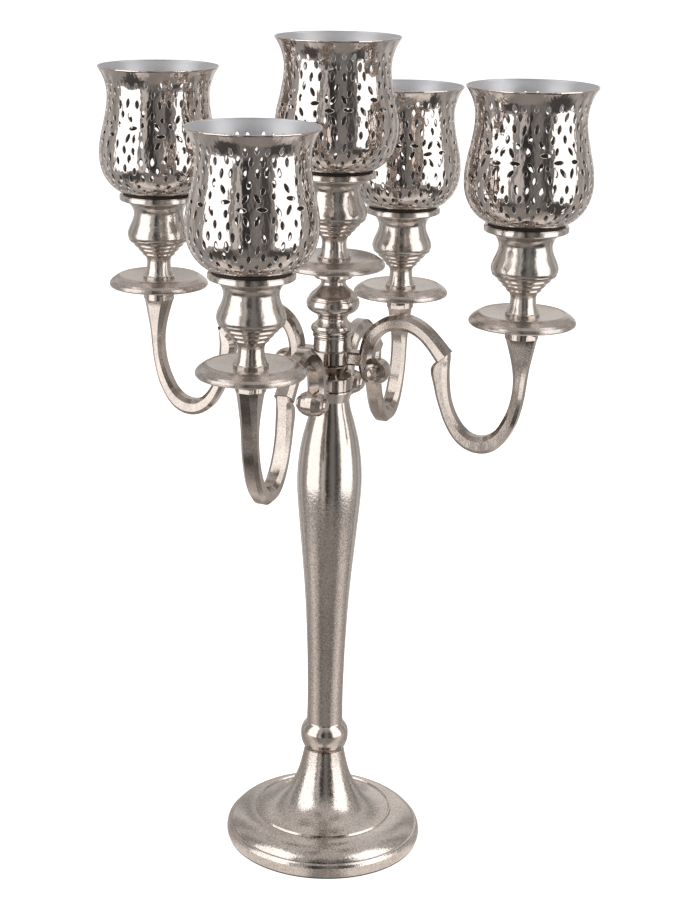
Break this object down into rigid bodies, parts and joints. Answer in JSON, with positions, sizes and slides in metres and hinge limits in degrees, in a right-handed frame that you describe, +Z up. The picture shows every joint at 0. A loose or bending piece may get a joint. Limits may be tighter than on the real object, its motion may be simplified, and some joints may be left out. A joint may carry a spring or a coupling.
{
  "type": "candelabra",
  "caption": "Tabletop candelabra with a domed round base, tall baluster column, scrolled arms, drip pans and pierced tulip-shaped shades that lift out of the candle cups.",
  "frame": {"origin": "centre of the base on the surface it stands on", "axes": "+Z up along the column, +X along one upper arm, +Y along one lower arm"},
  "size_m": [0.3648, 0.3648, 0.6],
  "materials": {
    "cast_body": "nickel-plated sand casting, fine grain, buffed on the high spots",
    "satin_nickel": "nickel-plated casting, satin faces with bright worn edges",
    "polished_nickel": "nickel-plated and polished",
    "shade_nickel": "polished nickel outside, pale satin inside",
    "steel": "plain zinc-grey hardware",
    "gasket": "matt black",
    "felt": "dark felt"
  },
  "bodies": {
    "candelabra": {"base_foot": "cast_body", "base_felt": "felt", "base_washer": "steel", "base_nut": "steel", "tie_rod": "steel", "column": "cast_body", "hub_spacer": "polished_nickel", "arm_pair_upper": "satin_nickel", "arm_pair_lower": "satin_nickel", "center_stem": "polished_nickel", "light_studs": "steel", "drip_pan_center": "satin_nickel", "candle_cup_center": "polished_nickel", "drip_pan_right": "satin_nickel", "candle_cup_right": "polished_nickel", "drip_pan_left": "satin_nickel", "candle_cup_left": "polished_nickel", "drip_pan_back": "satin_nickel", "candle_cup_back": "polished_nickel", "drip_pan_front": "satin_nickel", "candle_cup_front": "polished_nickel"},
    "shade_lift_center": {"shade_seat_center": "polished_nickel", "shade_gasket_center": "gasket", "shade_center": "shade_nickel", "shade_screw_center": "steel"},
    "shade_lift_right": {"shade_seat_right": "polished_nickel", "shade_gasket_right": "gasket", "shade_right": "shade_nickel", "shade_screw_right": "steel"},
    "shade_lift_left": {"shade_seat_left": "polished_nickel", "shade_gasket_left": "gasket", "shade_left": "shade_nickel", "shade_screw_left": "steel"},
    "shade_lift_back": {"shade_seat_back": "polished_nickel", "shade_gasket_back": "gasket", "shade_back": "shade_nickel", "shade_screw_back": "steel"},
    "shade_lift_front": {"shade_seat_front": "polished_nickel", "shade_gasket_front": "gasket", "shade_front": "shade_nickel", "shade_screw_front": "steel"}
  },
  "joints": [
    {"name": "lift_center", "type": "slide", "parent": "candelabra", "child": "shade_lift_center", "axis": [0, 0, 1], "range_m": [0, 0.032]},
    {"name": "lift_right", "type": "slide", "parent": "candelabra", "child": "shade_lift_right", "axis": [0, 0, 1], "range_m": [0, 0.032]},
    {"name": "lift_left", "type": "slide", "parent": "candelabra", "child": "shade_lift_left", "axis": [0, 0, 1], "range_m": [0, 0.032]},
    {"name": "lift_back", "type": "slide", "parent": "candelabra", "child": "shade_lift_back", "axis": [0, 0, 1], "range_m": [0, 0.032]},
    {"name": "lift_front", "type": "slide", "parent": "candelabra", "child": "shade_lift_front", "axis": [0, 0, 1], "range_m": [0, 0.032]}
  ]
}
